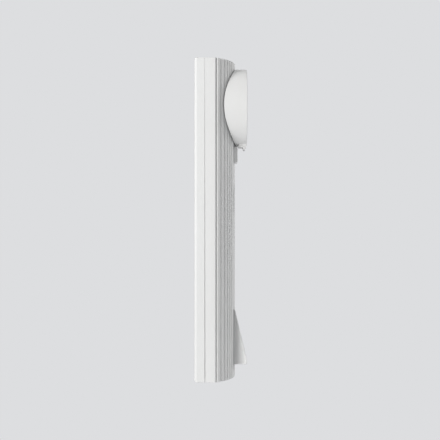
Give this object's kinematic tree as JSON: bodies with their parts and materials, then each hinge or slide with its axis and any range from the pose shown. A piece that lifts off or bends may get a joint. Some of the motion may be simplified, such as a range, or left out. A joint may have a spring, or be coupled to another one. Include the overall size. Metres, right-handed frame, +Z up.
{
  "type": "video door station",
  "caption": "Slim white surface-mounted video doorbell with a ribbed convex front, round camera hood, loudspeaker slots, light button and wedge-shaped call key.",
  "frame": {"origin": "centre of the flat back face, on the wall plane, at half the housing's height", "axes": "+Z up along the housing's height, -Y out of the wall towards the visitor, +X to the visitor's right"},
  "size_m": [0.086, 0.0472, 0.285],
  "materials": {
    "housing_plastic": "fine spark-eroded satin white",
    "key_plastic": "satin white",
    "black_plastic": "matte black",
    "rubber": "matte black",
    "smoked_window": "polished smoke grey",
    "clear_plastic": "polished clear",
    "opal_plastic": "opal white",
    "card": "matte uncoated",
    "zinc_steel": "zinc plated",
    "circuit_board": "solder mask green",
    "chip_epoxy": "matte black epoxy",
    "lens_glass": "polished, coated",
    "led_epoxy": "clear tinted epoxy",
    "cone_paper": "matte black",
    "terminal_plastic": "matte green",
    "capacitor_can": "sleeved can",
    "connector_plastic": "natural nylon"
  },
  "bodies": {
    "housing": {"rear_housing": "housing_plastic", "front_cover": "housing_plastic", "camera_hood": "housing_plastic", "hood_lock_ring": "black_plastic", "window_bezel": "black_plastic", "camera_base": "black_plastic", "housing_seal": "rubber", "cable_grommet": "rubber", "hood_gasket": "rubber", "speaker_gasket": "rubber", "microphone_boot": "rubber", "camera_window": "smoked_window", "call_key_led_left": "opal_plastic", "call_key_led_right": "opal_plastic", "camera_connector": "connector_plastic", "cover_screw": "zinc_steel", "camera_base_screw_left": "zinc_steel", "camera_base_screw_right": "zinc_steel", "main_board_screw_1": "zinc_steel", "main_board_screw_2": "zinc_steel", "main_board_screw_3": "zinc_steel", "main_board_screw_4": "zinc_steel", "call_key_pin": "zinc_steel", "speaker_basket": "zinc_steel", "speaker_magnet": "zinc_steel", "ir_led_board": "circuit_board", "light_button_board": "circuit_board", "call_key_board": "circuit_board", "main_board": "circuit_board", "light_button_switch": "chip_epoxy", "call_key_switch": "chip_epoxy", "controller_chip": "chip_epoxy", "ir_led_1": "led_epoxy", "ir_led_2": "led_epoxy", "ir_led_3": "led_epoxy", "ir_led_4": "led_epoxy", "ir_led_5": "led_epoxy", "ir_led_6": "led_epoxy", "speaker_cone": "cone_paper", "terminal_block": "terminal_plastic", "filter_capacitor": "capacitor_can", "microphone": "capacitor_can"},
    "light_button": {"light_button": "key_plastic"},
    "call_key": {"call_key": "key_plastic", "name_plate_window": "clear_plastic", "name_card": "card", "name_plate_diffuser": "opal_plastic"},
    "camera_pan_ring": {"camera_gimbal_ring": "black_plastic"},
    "camera_head": {"camera_module": "black_plastic", "sensor_board": "circuit_board", "lens_barrel": "black_plastic", "lens_element": "lens_glass"}
  },
  "joints": [
    {"name": "call_key_press", "type": "hinge", "parent": "housing", "child": "call_key", "pos_m": [0, -0.031, -0.084], "axis": [1, 0, 0], "range_deg": [0, 2.5], "stiffness_Nm_per_rad": 0.6, "springref_deg": -2.86},
    {"name": "light_button_press", "type": "slide", "parent": "housing", "child": "light_button", "axis": [0, 1, 0], "range_m": [0, 0.001], "stiffness_N_per_m": 800, "springref_m": -0.001},
    {"name": "camera_pan", "type": "hinge", "parent": "housing", "child": "camera_pan_ring", "pos_m": [0, -0.022, 0.1022], "axis": [0, 0, 1], "range_deg": [-15, 15]},
    {"name": "camera_tilt", "type": "hinge", "parent": "camera_pan_ring", "child": "camera_head", "pos_m": [0, -0.022, 0.1022], "axis": [1, 0, 0], "range_deg": [-15, 15]}
  ]
}
